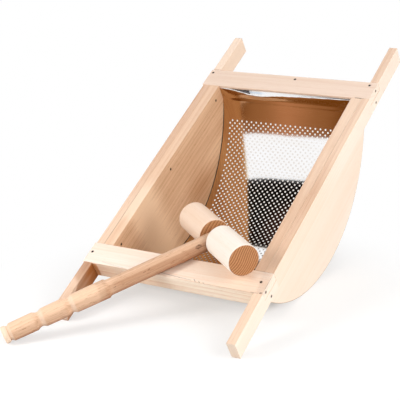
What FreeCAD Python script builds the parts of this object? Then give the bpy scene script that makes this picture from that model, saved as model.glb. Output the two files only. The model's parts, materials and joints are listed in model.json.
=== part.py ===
import FreeCAD, Part
import math
import os
import re
import Sketcher

# A wooden tomato strainer with its masher, in millimetres.
# Two long side rails end in handles and are tied by two lapped crossbars. A side panel with a round
# lower edge hangs inside each rail, and a perforated steel sheet wraps under both panels as a trough.
# The frame is built level: X to the right, Y to the back, Z up, with the wood's top faces at Z = 0 and
# X = 0 in the middle. Then it is tipped onto its belly and its front handle tips, as it stands.

Vector = FreeCAD.Vector
Rotation = FreeCAD.Rotation
Placement = FreeCAD.Placement

# Driving sizes

SIZES = {
    "half_width": (120, "middle to the outer face of a rail"),
    "rail_front": (250, "middle to the front handle tips"),
    "rail_back": (248, "middle to the back handle tips"),
    "rail_thickness": (11, "side to side"),
    "rail_depth": (23.5, "top to bottom"),
    "crossbar_near": (147.5, "middle to the inner edge of a crossbar"),
    "crossbar_width": (31, "front to back"),
    "crossbar_depth": (22.5, "top to bottom between the rails"),
    "lap_depth": (11, "thickness of a crossbar's tongue over the rail"),
    "left_overhang": (1.7, "a crossbar's left end past the rail"),
    "right_inset": (0.4, "a crossbar's right end short of the rail's face"),
    "panel_thickness": (13, "side to side"),
    "belly_radius": (175.8, "round lower edge of the side panels"),
    "belly_y": (-10.5, "centre of that round"),
    "sheet_foot": (21.27, "where the round meets the back crossbar, below the wood's top"),
    "sheet_gauge": (0.6, "thickness of the perforated sheet"),
    "sheet_lip": (2.8, "the sheet's back end below the wood's top"),
    "plain_side": (11, "plain sheet between each panel and the openings"),
    "plain_end": (28, "plain sheet at the front and back, along the round"),
    "opening_radius": (4.6, "openings that stand for the sheet's fine holes"),
    "wood_fit": (0.1, "gap in a wood joint and at the sheet"),
    "edge_round": (0.8, "rounding of the long wood edges"),
    "nail_radius": (0.9, "shank"),
    "nail_head_radius": (1.25, "head"),
    "nail_head_height": (0.9, "head"),
    "nail_fit": (0.05, "gap round a nail in its hole"),
    "panel_nail_length": (21, "through the panel into the rail"),
    "panel_nail_depth": (11.5, "below the wood's top"),
    "panel_nail_back": (17, "back one of three in a panel, in from the back crossbar"),
    "panel_nail_middle": (-3, "middle one, from the frame's middle"),
    "panel_nail_front": (12.5, "front one, in from the front crossbar"),
    "top_nail_length": (19, "through a tongue into the rail"),
    "top_nail_left": (2.5, "left top nails, in from the rail's outer face"),
    "top_nail_right": (9.4, "right top nails, in from the rail's outer face"),
    "front_top_nail": (14.8, "front top nails, out from the crossbar's inner edge"),
    "back_top_nail": (24.9, "back top nails, out from the crossbar's inner edge"),
    "centre_nail_x": (6, "nail in the middle of the back crossbar"),
    "side_nail_length": (30, "into a crossbar's end"),
    "side_nail_upper": (4.5, "upper side nail below the wood's top"),
    "side_nail_lower": (18, "lower side nail below the wood's top"),
    "front_upper_nail": (24, "in the tongue's end, out from the front crossbar's inner edge"),
    "front_lower_nail": (17.9, "through the rail, out from the front crossbar's inner edge"),
    "back_upper_nail": (20.6, "in the tongue's end, out from the back crossbar's inner edge"),
    "back_lower_nail": (14.1, "through the rail, out from the back crossbar's inner edge"),
    "tack_length": (10, "tack through the sheet's edge"),
    "tack_radius": (0.7, "shank"),
    "tack_head_radius": (2, "head"),
    "tack_head_height": (0.4, "head"),
    "tack_step": (12, "degrees between tacks"),
    "shaft_radius": (9.5, "the masher's shaft"),
    "nose_length": (11, "the handle past the rollers' axis"),
    "nose_radius": (6, "blunt end of the handle's nose"),
    "nose_bevel": (3.8, "length of the cone round that end"),
    "handle_length": (265, "rollers' axis to the handle's end"),
    "tongue_length": (28, "flattened part, from the rollers' axis"),
    "tongue_thickness": (16.8, "between the rollers"),
    "grip_length": (125.5, "grip, up to the handle's end"),
    "grip_taper_length": (3.5, "cone between shaft and grip"),
    "grip_radius": (11.4, "grip at its inner end"),
    "grip_loss": (0.9, "radius lost to the grip's outer end"),
    "groove_depth": (2.1, "grooves round the grip"),
    "inner_groove": (87, "handle's end to the inner groove's start"),
    "middle_groove": (49.5, "handle's end to the middle groove's start"),
    "groove_width": (12, "inner and middle groove"),
    "outer_groove": (10, "handle's end to the outer groove's start"),
    "outer_groove_width": (6.5, "outer groove"),
    "end_disc_radius": (10.2, "disc at the handle's end"),
    "end_disc_edge": (0.6, "chamfer of that disc"),
    "roller_radius": (18.7, "each roller"),
    "roller_length": (62.4, "each roller"),
    "roller_play": (0.4, "between the tongue and each roller"),
    "roller_edge": (1.2, "chamfer of the rollers' ends"),
    "axle_radius": (5, "dowel through the handle"),
    "axle_depth": (30, "dowel in each roller"),
    "axle_edge": (0.8, "chamfer of the dowel's ends"),
    "axle_run": (0.1, "gap round the dowel in the handle"),
    "glue_fit": (0.05, "gap round the dowel in the rollers"),
    "crossing_x": (8.4, "middle to where the shaft crosses the front crossbar's inner edge"),
    "crossing_reach": (40.8, "along the shaft from there to the rollers' axis"),
    "masher_heading": (41.8, "degrees that the shaft points to the left"),
    "handle_lean": (7.1, "degrees that the handle stands out of square to the rollers"),
    "rest_gap": (0.3, "between pieces that only lie on each other"),
    "origin_x": (-14.1, "origin from the frame's middle"),
    "origin_y": (-32.4, "origin from the frame's middle, along the floor"),
}

# Sizes that follow from them

WORKED = {
    "rail_inner": "half_width - rail_thickness",
    "panel_inner": "rail_inner - panel_thickness",
    "crossbar_far": "crossbar_near + crossbar_width",
    "sheet_inner_radius": "belly_radius + wood_fit",
    "sheet_outer_radius": "sheet_inner_radius + sheet_gauge",
    "sheet_edge": "rail_inner - wood_fit",
    "strip_back": "crossbar_near - wood_fit",
    "strip_front": "strip_back - sheet_gauge",
    "belly_z": "sqrt(sheet_outer_radius^2 - (strip_back - belly_y)^2) - sheet_foot",
    "sheet_front_z": "-crossbar_depth - wood_fit",
    "roller_gap": "tongue_thickness + 2 * roller_play",
    "axle_length": "roller_gap + 2 * axle_depth",
    "bore_radius": "axle_radius + glue_fit",
}

doc = FreeCAD.newDocument("TomatoStrainer")


def named(text):
    """The expression with each size's word pointed at its sheet."""
    def point(match):
        word = match.group(0)
        if word in SIZES:
            return "Sizes." + word
        return "Worked." + word if word in WORKED else word
    return re.sub(r"[a-z_]+", point, text)


sizes = doc.addObject("Spreadsheet::Sheet", "Sizes")
for row, (word, (number, meaning)) in enumerate(SIZES.items(), start=1):
    sizes.set(f"A{row}", word)
    sizes.set(f"B{row}", str(number))
    sizes.setAlias(f"B{row}", word)
    sizes.set(f"C{row}", meaning)
doc.recompute()
worked = doc.addObject("Spreadsheet::Sheet", "Worked")
for row, word in enumerate(WORKED, start=1):
    worked.set(f"A{row}", word)
    worked.setAlias(f"B{row}", word)
for row, text in enumerate(WORKED.values(), start=1):
    worked.set(f"B{row}", "=" + named(text))
doc.recompute()


def size(word):
    return float(getattr(sizes if word in SIZES else worked, word))


# Solids whose sizes are bound to the sheets

def block(label, x, y, z):
    """A box between the low and high expressions of each axis."""
    box = doc.addObject("Part::Box", label)
    for side, axis, (low, high) in (("Length", "x", x), ("Width", "y", y), ("Height", "z", z)):
        box.setExpression(side, named(f"({high}) - ({low})"))
        box.setExpression(f"Placement.Base.{axis}", named(low))
    return box


def belly_rod(label, radius, half_length):
    """A cylinder along X on the belly's centre line."""
    rod = doc.addObject("Part::Cylinder", label)
    rod.Placement = Placement(Vector(), Rotation(Vector(0, 1, 0), 90))
    rod.setExpression("Radius", named(radius))
    rod.setExpression("Height", named(f"2 * ({half_length})"))
    rod.setExpression("Placement.Base.x", named(f"-({half_length})"))
    rod.setExpression("Placement.Base.y", named("belly_y"))
    rod.setExpression("Placement.Base.z", named("belly_z"))
    return rod


def combine(kind, label, base, tool):
    """A Cut, Fuse or Common of two objects."""
    result = doc.addObject("Part::" + kind, label)
    result.Base = base
    result.Tool = tool
    return result


def soften(label, base, along):
    """Rounds the base's straight edges that run along one direction."""
    doc.recompute()
    radius = size("edge_round")
    result = doc.addObject("Part::Fillet", label)
    result.Base = base
    result.Edges = [(number, radius, radius) for number, edge in enumerate(base.Shape.Edges, start=1)
                    if abs(edge.tangentAt(edge.FirstParameter).dot(along)) > 0.999]
    return result


def side(sign, low, high):
    """The X range of a piece on the right (1) or on the left (-1)."""
    return (low, high) if sign > 0 else (f"-({high})", f"-({low})")


def turned(label, stations):
    """A body turned about its own Y axis: stations are (place along the axis, radius) expressions."""
    body = doc.addObject("PartDesign::Body", label)
    plane = next(o for o in body.Origin.OriginFeatures if o.Role == "XY_Plane")
    sketch = body.newObject("Sketcher::SketchObject", label + "Profile")
    sketch.AttachmentSupport = [(plane, "")]
    sketch.MapMode = "FlatFace"
    # A first guess at each corner, spread out so that no two fall together.
    corners = [Vector(10 + 0.1 * i, 3 * i, 0) for i in range(len(stations))]
    for i, corner in enumerate(corners):
        sketch.addGeometry(Part.LineSegment(corner, corners[(i + 1) % len(corners)]), False)
    for i, (along, radius) in enumerate(stations):
        sketch.addConstraint(Sketcher.Constraint("Coincident", i, 2, (i + 1) % len(corners), 1))
        for kind, text, guess, axis in (("DistanceX", radius, corners[i].x, -2),
                                        ("DistanceY", along, corners[i].y, -1)):
            if text == "0":
                sketch.addConstraint(Sketcher.Constraint("PointOnObject", i, 1, axis))
            else:
                number = sketch.addConstraint(Sketcher.Constraint(kind, -1, 1, i, 1, guess))
                sketch.setExpression(f"Constraints[{number}]", named(text))
    turning = body.newObject("PartDesign::Revolution", label + "Turning")
    turning.Profile = sketch
    turning.ReferenceAxis = (sketch, ["V_Axis"])
    turning.Angle = 360
    body.Tip = turning
    return body


# Nails: each is made along +Z, head up, with its head's top at the origin

def nail(kind, length, gap=0.0):
    depth = size(kind + "_head_height") + gap
    head = Part.makeCylinder(size(kind + "_head_radius") + gap, depth + gap, Vector(0, 0, -depth))
    depth = size(length) + gap
    shank = Part.makeCylinder(size(kind + "_radius") + gap, depth, Vector(0, 0, -depth))
    return head.fuse(shank).removeSplitter()


def driven(kind, length, place, heading, gap=0.0):
    """A nail whose head's top is at place and whose point looks along heading."""
    shape = nail(kind, length, gap)
    shape.Placement = Placement(place, Rotation(Vector(0, 0, -1), heading))
    return shape


def along_rail(end, out):
    """The Y of a place that lies so far out from a crossbar's inner edge, at the front or the back."""
    return (size("crossbar_near") + out) * (-1 if end == "front" else 1)


belly_centre = Vector(0, size("belly_y"), size("belly_z"))

# How the frame stands: on the lower edges of its front tips and on the round of the sheet
tip = Vector(0, -size("rail_front"), -size("rail_depth"))
from_tip = belly_centre - tip
tilt = math.asin(size("sheet_outer_radius") / from_tip.Length) - math.atan2(from_tip.z, from_tip.y)
floor_up = Vector(0, math.sin(tilt), math.cos(tilt))

NAILS = {}
for word, sign in (("left", -1), ("right", 1)):
    to_side = Vector(sign, 0, 0)
    spots = (along_rail("back", -size("panel_nail_back")), size("panel_nail_middle"),
             along_rail("front", -size("panel_nail_front")))
    NAILS[word + "_panel_nails"] = [
        ("nail", "panel_nail_length",
         to_side * size("panel_inner") + Vector(0, y, -size("panel_nail_depth")), to_side)
        for y in spots]
    tongue_end = size("half_width") + (size("left_overhang") if sign < 0 else -size("right_inset"))
    for end in ("front", "back"):
        NAILS[f"{end}_{word}_side_nails"] = [
            ("nail", "side_nail_length",
             Vector(sign * x, along_rail(end, size(f"{end}_{row}_nail")), -size("side_nail_" + row)),
             to_side * -1)
            for row, x in (("upper", tongue_end), ("lower", size("half_width")))]
down = Vector(0, 0, -1)
for end in ("front", "back"):
    y = along_rail(end, size(end + "_top_nail"))
    NAILS[end + "_top_nails"] = [
        ("nail", "top_nail_length", Vector(x, y, 0), down)
        for x in (size("top_nail_left") - size("half_width"), size("half_width") - size("top_nail_right"))]
NAILS["back_centre_nail"] = [
    ("nail", "top_nail_length", Vector(size("centre_nail_x"), y, 0), down)]

# Tacks hold the sheet's side edges to the panels, spaced evenly to both sides of where the belly
# touches the floor, so that none is under that place, and at least half a step from the sheet's ends.
step = math.radians(size("tack_step"))
front_angle = math.acos((size("belly_z") + size("crossbar_depth")) / size("sheet_outer_radius"))
back_angle = math.asin((size("strip_front") - size("belly_y")) / size("sheet_outer_radius"))
angles = [step * (i + 0.5) - tilt
          for i in range(-int((front_angle - tilt) / step), int((back_angle + tilt) / step))]
head_top = size("sheet_outer_radius") + size("tack_head_height")
for word, sign in (("left", -1), ("right", 1)):
    middle = belly_centre + Vector(sign * (size("panel_inner") + size("panel_thickness") / 2), 0, 0)
    NAILS[word + "_sheet_tacks"] = [
        ("tack", "tack_length", middle + outward * head_top, outward * -1)
        for outward in (Vector(0, math.sin(angle), -math.cos(angle)) for angle in angles)]

holes = doc.addObject("Part::Feature", "NailHoles")
holes.Shape = Part.Compound([driven(*one, gap=size("nail_fit")) for group in NAILS.values() for one in group])
doc.recompute()

pieces = {}
for name, group in NAILS.items():
    pieces[name] = doc.addObject("Part::Feature", name)
    pieces[name].Shape = Part.Compound([driven(*one) for one in group])

# Crossbars: their ends lap over the rails

def crossbar(name, y):
    whole = block(name + "Blank", ("-half_width - left_overhang", "half_width - right_inset"), y,
                  ("-crossbar_depth", "0"))
    shape = soften(name + "Rounded", whole, Vector(1, 0, 0))
    for word, sign in (("Left", -1), ("Right", 1)):
        under = block(name + word + "Rebate",
                      side(sign, "rail_inner - wood_fit", "half_width + rail_thickness"),
                      y, ("-crossbar_depth - lap_depth", "-lap_depth"))
        shape = combine("Cut", name + word + "Lap", shape, under)
    return combine("Cut", name, shape, holes)


FRONT = ("-crossbar_far", "-crossbar_near")
BACK = ("crossbar_near", "crossbar_far")
pieces["front_crossbar"] = crossbar("FrontCrossbar", FRONT)
pieces["back_crossbar"] = crossbar("BackCrossbar", BACK)

# Side rails, with a notch for each crossbar's tongue

def rail(word, sign):
    name = word.capitalize() + "Rail"
    bar = block(name + "Blank", side(sign, "rail_inner", "half_width"), ("-rail_front", "rail_back"),
                ("-rail_depth", "0"))
    shape = soften(name + "Rounded", bar, Vector(0, 1, 0))
    for end, (low, high) in (("Front", FRONT), ("Back", BACK)):
        notch = block(name + end + "Notch", side(sign, "panel_inner", "half_width + rail_thickness"),
                      (low + " - wood_fit", high + " + wood_fit"), ("-lap_depth - wood_fit", "lap_depth"))
        shape = combine("Cut", name + end + "Lap", shape, notch)
    return combine("Cut", name, shape, holes)


pieces["left_rail"] = rail("left", -1)
pieces["right_rail"] = rail("right", 1)

# Side panels: flush with the rails on top, round below, cut out under the front crossbar

def panel(word, sign):
    name = word.capitalize() + "Panel"
    board = block(name + "Board", side(sign, "panel_inner", "rail_inner"),
                  ("-crossbar_far", "strip_front - wood_fit"), ("belly_z - sheet_outer_radius", "0"))
    belly = belly_rod(name + "Belly", "belly_radius", "half_width")
    rounded = combine("Common", name + "Round", board, belly)
    corner = block(name + "Corner", side(sign, "0", "half_width"),
                   ("-rail_front", "-crossbar_near + wood_fit"), ("-crossbar_depth - wood_fit", "rail_depth"))
    return combine("Cut", name, combine("Cut", name + "Notched", rounded, corner), holes)


pieces["left_side_panel"] = panel("left", -1)
pieces["right_side_panel"] = panel("right", 1)

# The sheet: a round trough from under the front crossbar to a straight lip on the back crossbar

tube = combine("Cut", "SheetTube", belly_rod("SheetOuter", "sheet_outer_radius", "sheet_edge"),
               belly_rod("SheetInner", "sheet_inner_radius", "half_width"))
trough_room = block("TroughRoom", ("-half_width", "half_width"), ("-crossbar_far", "strip_back"),
                    ("belly_z - 2 * sheet_outer_radius", "0"))
trough = combine("Common", "Trough", tube, trough_room)
front_end = block("SheetFrontEnd", ("-half_width", "half_width"),
                  ("-rail_front", "-crossbar_near + wood_fit"), ("sheet_front_z", "rail_depth"))
lip = block("SheetLip", ("-sheet_edge", "sheet_edge"), ("strip_front", "strip_back"),
            ("-sheet_foot", "-sheet_lip"))
formed = combine("Fuse", "SheetFormed", combine("Cut", "SheetCut", trough, front_end), lip)
nailed = combine("Cut", "SheetNailed", formed, holes)

# The real sheet has over two thousand holes, each two millimetres wide. A plain grid of larger openings
# stands for them, with about the same share of open area.

ACROSS = 12
ALONG = 11


def evenly(low, high, count):
    """So many places from low to high, with equal steps."""
    return [low + (high - low) * i / (count - 1) for i in range(count)]


def opening(x, angle):
    """A round rod through the sheet, square to it."""
    outward = Vector(0, math.sin(angle), -math.cos(angle))
    inner = size("sheet_inner_radius") - size("sheet_gauge")
    return Part.makeCylinder(size("opening_radius"), 3 * size("sheet_gauge"),
                             belly_centre + Vector(x, 0, 0) + outward * inner, outward)


last_x = size("panel_inner") - size("plain_side") - size("opening_radius")
end_band = (size("plain_end") + size("opening_radius")) / size("sheet_outer_radius")
openings = doc.addObject("Part::Feature", "Openings")
openings.Shape = Part.Compound([opening(x, angle) for x in evenly(-last_x, last_x, ACROSS)
                                for angle in evenly(end_band - front_angle, back_angle - end_band, ALONG)])
pieces["strainer_sheet"] = combine("Cut", "StrainerSheet", nailed, openings)

# The masher's handle: its own Y axis runs from the nose to the grip's end

def at(text):
    """A place along the handle, counted from the rollers' axis."""
    return f"nose_length + {text}"


def groove(start, width, strokes=6):
    """A round-bottomed groove in the grip, which tapers to the handle's end."""
    for i in range(strokes + 1):
        from_end = f"({start} - {width} * {i / strokes})"
        grip = f"grip_radius - grip_loss * (1 - {from_end} / grip_length)"
        depth = f"groove_depth * {math.sin(math.pi * i / strokes):.4f}"
        yield at(f"handle_length - {from_end}"), f"{grip} - {depth}"


handle = turned("masher_handle", [
    ("0", "0"),
    ("0", "nose_radius"),
    ("nose_bevel", "shaft_radius"),
    (at("handle_length - grip_length - grip_taper_length"), "shaft_radius"),
    (at("handle_length - grip_length"), "grip_radius"),
    *groove("inner_groove", "groove_width"),
    *groove("middle_groove", "groove_width"),
    *groove("outer_groove", "outer_groove_width"),
    (at("handle_length - end_disc_edge"), "end_disc_radius"),
    (at("handle_length"), "end_disc_radius - end_disc_edge"),
    (at("handle_length"), "0"),
])
doc.recompute()


def pocket(body, name, role, draw):
    """Cuts a sketch, centred on the rollers' axis and square to it, to both sides through the body."""
    before = body.Shape.Volume
    plane = next(o for o in body.Origin.OriginFeatures if o.Role == role)
    sketch = body.newObject("Sketcher::SketchObject", name + "Sketch")
    sketch.AttachmentSupport = [(plane, "")]
    sketch.MapMode = "FlatFace"
    draw(sketch)
    cut = body.newObject("PartDesign::Pocket", name)
    cut.Profile = sketch
    cut.Type = "ThroughAll"
    cut.Midplane = True
    body.Tip = cut
    doc.recompute()
    if body.Shape.Volume >= before:
        raise RuntimeError(name + " cuts nothing")


def draw_cheeks(sketch):
    """The cheeks sawn off beside the tongue: a box on each side of its thickness, turned by the lean."""
    sketch.AttachmentOffset = Placement(Vector(), Rotation(Vector(0, 0, 1), -size("handle_lean")))
    sketch.setExpression("AttachmentOffset.Base.y", named("nose_length"))
    limits = (("DistanceX", 0, "tongue_thickness / 2"), ("DistanceX", 1, "shaft_radius * 2"),
              ("DistanceY", 0, "nose_length * 2"), ("DistanceY", 2, "tongue_length"))
    for sign in (-1, 1):
        near, far = sign * size("tongue_thickness") / 2, sign * size("shaft_radius") * 2
        low, high = -size("nose_length") * 2, size("tongue_length")
        corners = [Vector(near, low, 0), Vector(far, low, 0), Vector(far, high, 0), Vector(near, high, 0)]
        first = sketch.GeometryCount
        for i, corner in enumerate(corners):
            sketch.addGeometry(Part.LineSegment(corner, corners[(i + 1) % 4]), False)
        for i in range(4):
            sketch.addConstraint(Sketcher.Constraint("Coincident", first + i, 2, first + (i + 1) % 4, 1))
            sketch.addConstraint(Sketcher.Constraint(("Horizontal", "Vertical")[i % 2], first + i))
        for kind, corner, text in limits:
            point, middle = (first + corner, 1), (-1, 1)
            backward = sign < 0 if kind == "DistanceX" else corner == 0
            ends = point + middle if backward else middle + point
            number = sketch.addConstraint(Sketcher.Constraint(kind, *ends, size("shaft_radius")))
            sketch.setExpression(f"Constraints[{number}]", named(text))


def draw_bore(sketch):
    """The hole for the dowel."""
    sketch.AttachmentOffset = Placement(Vector(), Rotation(Vector(0, 1, 0), -size("handle_lean")))
    sketch.setExpression("AttachmentOffset.Base.x", named("nose_length"))
    sketch.addGeometry(Part.Circle(Vector(), Vector(0, 0, 1), size("axle_radius")), False)
    sketch.addConstraint(Sketcher.Constraint("Coincident", 0, 3, -1, 1))
    number = sketch.addConstraint(Sketcher.Constraint("Radius", 0, size("axle_radius")))
    sketch.setExpression(f"Constraints[{number}]", named("axle_radius + axle_run"))


pocket(handle, "Cheeks", "XY_Plane", draw_cheeks)
pocket(handle, "AxleHole", "YZ_Plane", draw_bore)

# Rollers and their dowel, each along its own Y axis, from its inner end

ROLLER = [
    ("axle_depth + glue_fit", "0"),
    ("roller_length", "0"),
    ("roller_length", "roller_radius - roller_edge"),
    ("roller_length - roller_edge", "roller_radius"),
    ("roller_edge", "roller_radius"),
    ("0", "roller_radius - roller_edge"),
    ("0", "bore_radius"),
    ("axle_depth + glue_fit", "bore_radius"),
]
left_roller = turned("left_roller", ROLLER)
right_roller = turned("right_roller", ROLLER)
axle = turned("roller_axle", [
    ("0", "0"),
    ("0", "axle_radius - axle_edge"),
    ("axle_edge", "axle_radius"),
    ("axle_length - axle_edge", "axle_radius"),
    ("axle_length", "axle_radius - axle_edge"),
    ("axle_length", "0"),
])

# How the masher lies: shaft and right roller on the front crossbar's inner edge, handle's end on the floor

bar_edge = Vector(0, -size("crossbar_near"), 0)


def edge_gap(place, direction, radius):
    """How far a round bar, along a line, clears the crossbar's edge, less the gap it lies at."""
    over = place.z + direction.z / direction.y * (bar_edge.y - place.y)
    return over * abs(direction.y) / math.hypot(direction.y, direction.z) - radius - size("rest_gap")


def shaft_line(pitch):
    """Where the shaft's axis crosses over the edge, and its direction outward, at a pitch."""
    heading = math.radians(size("masher_heading"))
    ahead = Vector(-math.sin(heading), -math.cos(heading), 0)
    outward = ahead * math.cos(pitch) + Vector(0, 0, math.sin(pitch))
    rise = (size("shaft_radius") + size("rest_gap")) * math.hypot(outward.y, outward.z) / abs(outward.y)
    return Vector(size("crossing_x"), bar_edge.y, rise), outward


def end_height(pitch):
    """Height over the floor of the end disc's lowest point, less the gap it lies at."""
    crossing, outward = shaft_line(pitch)
    end = crossing + outward * (size("handle_length") - size("crossing_reach"))
    lean = outward.dot(floor_up)
    return (end - tip).dot(floor_up) - size("end_disc_radius") * math.sqrt(1 - lean * lean) - size("rest_gap")


def where_zero(height, low, high):
    """The angle between two, in degrees, at which a growing height passes zero, in radians."""
    low, high = math.radians(low), math.radians(high)
    while high - low > 1e-9:
        middle = (low + high) / 2
        low, high = (low, middle) if height(middle) > 0 else (middle, high)
    return low


PITCHES = (-30, 45)
ROLLS = (-20, 60)
crossing, outward = shaft_line(where_zero(end_height, *PITCHES))
head = crossing - outward * size("crossing_reach")
level = outward.cross(Vector(0, 0, -1)).normalize()
above = level.cross(outward * -1)
lean = math.radians(size("handle_lean"))


def roller_axis(roll):
    """The rollers' axis, to the right, with the head rolled about the shaft."""
    square = level * math.cos(roll) + above * math.sin(roll)
    return square * math.cos(lean) - outward * math.sin(lean)


roll = where_zero(lambda angle: edge_gap(head, roller_axis(angle), size("roller_radius")), *ROLLS)
across = roller_axis(roll)
square = level * math.cos(roll) + above * math.sin(roll)
lying = Rotation(square, outward, square.cross(outward), "XYZ")
facing = across.cross(square.cross(outward))
to_right = Rotation(facing, across, facing.cross(across), "XYZ")
to_left = Rotation(facing, across * -1, across.cross(facing), "XYZ")

# Everything is tipped onto the floor, with the origin under the middle of the whole
standing = Placement(Vector(), Rotation(Vector(1, 0, 0), math.degrees(tilt)))
tip_down = standing.multVec(tip)
standing.Base = Vector(-size("origin_x"), -size("origin_y"), -tip_down.z)

for piece in pieces.values():
    piece.Placement = standing
handle.Placement = standing.multiply(Placement(head - outward * size("nose_length"), lying))
right_roller.Placement = standing.multiply(Placement(head + across * (size("roller_gap") / 2), to_right))
left_roller.Placement = standing.multiply(Placement(head - across * (size("roller_gap") / 2), to_left))
axle.Placement = standing.multiply(Placement(head - across * (size("axle_length") / 2), to_right))
pieces.update(masher_handle=handle, roller_axle=axle, left_roller=left_roller, right_roller=right_roller)
for name, piece in pieces.items():
    piece.Label = name
doc.recompute()

# Checks, then one file for each piece

failed = [o.Name for o in doc.Objects if "Invalid" in o.State or "Error" in o.State]
if failed:
    raise RuntimeError("failed: " + ", ".join(failed))
os.makedirs("parts", exist_ok=True)
for name, piece in pieces.items():
    shape = piece.Shape
    if shape.isNull() or not shape.isValid():
        raise RuntimeError(name + " has no valid shape")
    print(f"{name}: {len(shape.Solids)} solid(s), {shape.Volume:.1f} mm3")
    shape.exportStep(f"parts/{name}.step")
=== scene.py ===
# %% [markdown]
# A wooden tomato strainer, dressed for a studio picture
#
# The strainer is a long wooden frame: two rails that end in handles, two crossbars, two side panels with a
# round belly, and a perforated steel sheet wrapped under them as a trough. A turned wooden masher lies
# across its front. The solid parts come ready made, so this lesson gives them their wood, their steel and
# their light, and works out the pieces that solid parts can't show well: the sheet with its two thousand
# holes, and the softly turned masher.

# %% Load the solid parts
import json
import math

import bmesh
import bpy
import numpy as np
from mathutils import Matrix, Vector


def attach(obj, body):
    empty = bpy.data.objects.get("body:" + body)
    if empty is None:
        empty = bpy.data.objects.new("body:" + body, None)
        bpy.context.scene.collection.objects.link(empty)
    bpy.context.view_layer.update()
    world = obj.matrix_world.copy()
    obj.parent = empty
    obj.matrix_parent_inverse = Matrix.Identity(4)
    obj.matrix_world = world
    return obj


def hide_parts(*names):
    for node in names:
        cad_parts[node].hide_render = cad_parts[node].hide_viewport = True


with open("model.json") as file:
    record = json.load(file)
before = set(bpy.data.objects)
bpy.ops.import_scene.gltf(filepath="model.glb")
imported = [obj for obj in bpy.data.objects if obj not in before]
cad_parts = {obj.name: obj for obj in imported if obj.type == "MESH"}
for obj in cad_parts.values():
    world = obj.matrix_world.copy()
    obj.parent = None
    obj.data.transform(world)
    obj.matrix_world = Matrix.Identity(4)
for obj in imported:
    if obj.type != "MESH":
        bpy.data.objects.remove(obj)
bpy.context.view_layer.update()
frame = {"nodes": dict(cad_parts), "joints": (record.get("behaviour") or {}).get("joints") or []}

# %% [markdown]
# Where things are
#
# The strainer was drawn level and then tipped onto its belly and its front handle tips. Shapes and wood
# grain are easier to describe in the level position, in millimetres, with X to the right, Y to the back and
# Z up from the wood's top faces. One matrix takes that position to the floor. The masher has two lines of
# its own: the line through its rollers, and the line along its handle.

# %% Positions
MM = 0.001
TILT = math.radians(25.5622)
TOP_MIDDLE = (0.0141, 0.0324, 0.1290723)
STANDING = Matrix.Translation(TOP_MIDDLE) @ Matrix.Rotation(TILT, 4, "X")
LEVEL_AXES = STANDING.to_3x3()
LEVEL_ORIGIN = STANDING.translation

spin = next(joint for joint in frame["joints"] if joint["name"] == "roller_spin")
HEAD = Vector(spin["pos_m"])
ACROSS = Vector(spin["axis"]).normalized()
OUTWARD = Vector((-0.66603, -0.688759, -0.286385)).normalized()


def to_floor(points):
    """Level millimetres, as an array of rows, to metres on the floor: turn by the tilt, then shift."""
    matrix = np.array(STANDING)
    return points * MM @ matrix[:3, :3].T + matrix[:3, 3]


def add_object(name, data):
    """A new object of a mesh, a lamp or a camera, in the scene."""
    made = bpy.data.objects.new(name, data)
    bpy.context.scene.collection.objects.link(made)
    return made


print("masher's head stands at, mm:", [round(c / MM, 1) for c in HEAD])

# %% [markdown]
# Writing shader maths as plain expressions
#
# A material in Blender is a tree of nodes. Typing out each Math node hides the idea behind it, so a small
# class wraps one output socket and gives it plus, minus and times. An expression on such values then adds
# the Math nodes by itself.

# %% Signal
def math_node(operation, swapped=False):
    """A method that adds one Math node, for an operator such as + or *."""
    def method(self, other=0.0):
        first, second = (other, self) if swapped else (self, other)
        return self.finish.maths(operation, first, second)
    return method


class Signal:
    """A value that varies over a surface: one output socket of a finish."""

    __add__ = math_node("ADD")
    __radd__ = math_node("ADD", swapped=True)
    __sub__ = math_node("SUBTRACT")
    __rsub__ = math_node("SUBTRACT", swapped=True)
    __mul__ = math_node("MULTIPLY")
    __truediv__ = math_node("DIVIDE")
    __pow__ = math_node("POWER")
    __abs__ = math_node("ABSOLUTE")
    fraction = math_node("FRACT")

    def __init__(self, finish, socket):
        self.finish = finish
        self.socket = socket

    def held(self):
        """Kept between 0 and 1."""
        return self.finish.maths("ADD", self, 0.0, clamp=True)

    def ramp(self, low, high):
        """0 up to low, 1 from high on, and a soft step between. Low may be the larger, to fall instead."""
        return self.finish.node("MapRange", {"Value": self, "From Min": low, "From Max": high},
                                interpolation_type="SMOOTHSTEP")


# %% [markdown]
# A tree of nodes, one call for each node
#
# Materials and the world both hold a tree, so one class fills either. Sockets go by their names, or by
# number where a node names several alike, such as Math and Mix.

# %% Finish
MIX_SHARE, MIX_FIRST, MIX_SECOND, MIX_RESULT = 0, 6, 7, 2


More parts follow.
